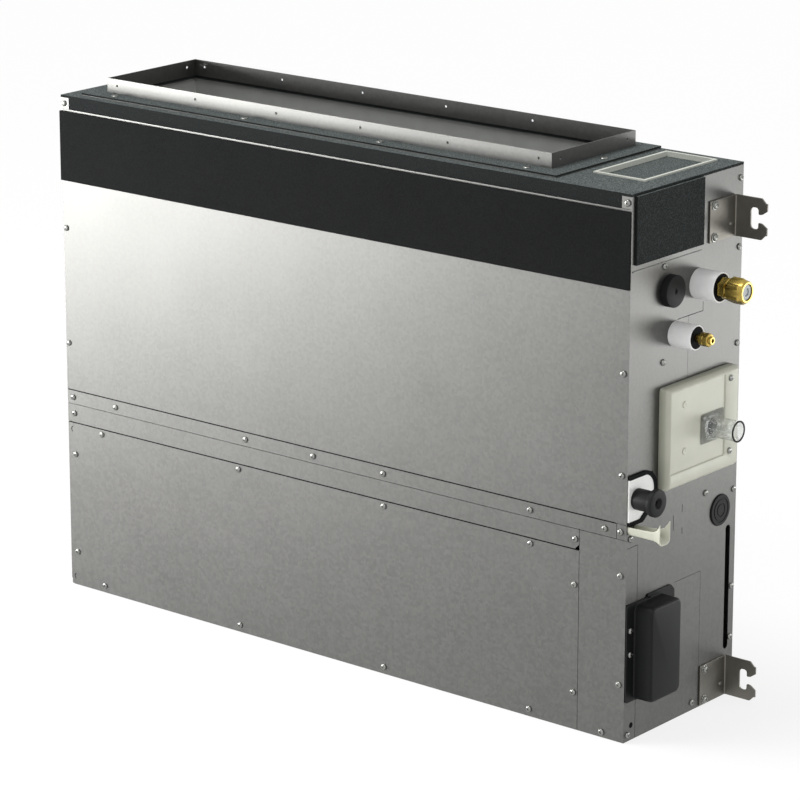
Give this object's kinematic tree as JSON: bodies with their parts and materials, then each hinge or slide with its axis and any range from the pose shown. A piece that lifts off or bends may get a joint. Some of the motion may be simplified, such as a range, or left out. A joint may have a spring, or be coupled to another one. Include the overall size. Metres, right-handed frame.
{
  "type": "ducted air conditioner",
  "caption": "Slim concealed duct indoor unit: galvanised casing with fans, coil, drain pump and control box, duct collar, hanger brackets and flare pipe ends",
  "frame": {"origin": "centre of the casing's footprint, on the floor under its return end; the pipe ends reach further on +X, so this isn't the centre of the bounding box", "axes": "+X to the pipe side, -Y out of the front face (the underside once hung), +Z to the duct outlet"},
  "size_m": [0.9532, 0.213, 0.639],
  "materials": {
    "galvanised_sheet": "zinc-coated steel sheet with a fine spangle",
    "bracket_steel": "thicker plated steel, bent",
    "bright_steel": "ground shaft",
    "painted_steel": "baked black paint",
    "black_foam": "closed-cell foam sheet, cut and stuck on",
    "white_foam": "moulded bead foam",
    "cream_plastic": "moulded, slightly translucent",
    "black_plastic": "moulded, lightly grained",
    "grey_plastic": "moulded transport plug",
    "black_rubber": "moulded rubber",
    "clear_plastic": "clear moulded plastic",
    "white_sleeve": "smooth skin over pipe insulation",
    "fin_aluminium": "stamped fins",
    "copper_tube": "drawn copper tube",
    "brass_fitting": "turned brass",
    "board_laminate": "coated circuit board"
  },
  "bodies": {
    "casing": {"left_side_plate": "galvanised_sheet", "right_side_plate": "galvanised_sheet", "back_panel": "galvanised_sheet", "front_upper_panel": "galvanised_sheet", "fan_partition": "galvanised_sheet", "front_rail": "galvanised_sheet", "front_lower_panel": "galvanised_sheet", "control_box_cover": "galvanised_sheet", "top_plate": "galvanised_sheet", "outlet_collar": "galvanised_sheet", "outlet_liner": "white_foam", "intake_frame": "galvanised_sheet", "control_box": "galvanised_sheet", "coil_end_plates": "galvanised_sheet", "motor_bracket": "bracket_steel", "hanger_brackets_right": "bracket_steel", "hanger_brackets_left": "bracket_steel", "collar_foam_sheet": "black_foam", "top_foam": "black_foam", "front_foam_band": "black_foam", "side_foams": "black_foam", "pan_gasket": "black_foam", "sleeve_cores": "black_foam", "port_frame": "cream_plastic", "drip_spout": "cream_plastic", "scroll_uppers": "black_plastic", "scroll_lowers": "black_plastic", "wiring_cover": "black_plastic", "pump_cover": "cream_plastic", "drain_pump": "black_plastic", "air_filter": "black_plastic", "terminal_block": "black_plastic", "fan_motor": "painted_steel", "motor_rings": "black_rubber", "cable_plug": "black_rubber", "grommet": "black_rubber", "drain_plug": "black_rubber", "gas_plug": "grey_plastic", "coil_fins": "fin_aluminium", "coil_bends": "copper_tube", "gas_header": "copper_tube", "gas_pipe": "copper_tube", "liquid_pipe": "copper_tube", "distributor": "brass_fitting", "gas_union": "brass_fitting", "gas_flare_nut": "brass_fitting", "liquid_fitting": "brass_fitting", "pipe_sleeves": "white_sleeve", "drain_pan": "white_foam", "pump_socket": "clear_plastic", "float_switch": "cream_plastic", "circuit_board": "board_laminate"},
    "fan_rotor": {"fan_shaft": "bright_steel", "fan_wheel_left": "black_plastic", "fan_wheel_right": "black_plastic"},
    "pump_rotor": {"pump_impeller": "cream_plastic"},
    "float": {"float_ring": "white_foam"}
  },
  "joints": [
    {"name": "fan_spin", "type": "hinge", "parent": "casing", "child": "fan_rotor", "pos_m": [-0.0254, 0.009, 0.11], "axis": [1, 0, 0], "continuous": true},
    {"name": "pump_spin", "type": "hinge", "parent": "casing", "child": "pump_rotor", "pos_m": [0.375, -0.02, 0.334], "axis": [0, 1, 0], "continuous": true},
    {"name": "float_slide", "type": "slide", "parent": "casing", "child": "float", "axis": [0, 1, 0], "range_m": [0, 0.018]}
  ]
}
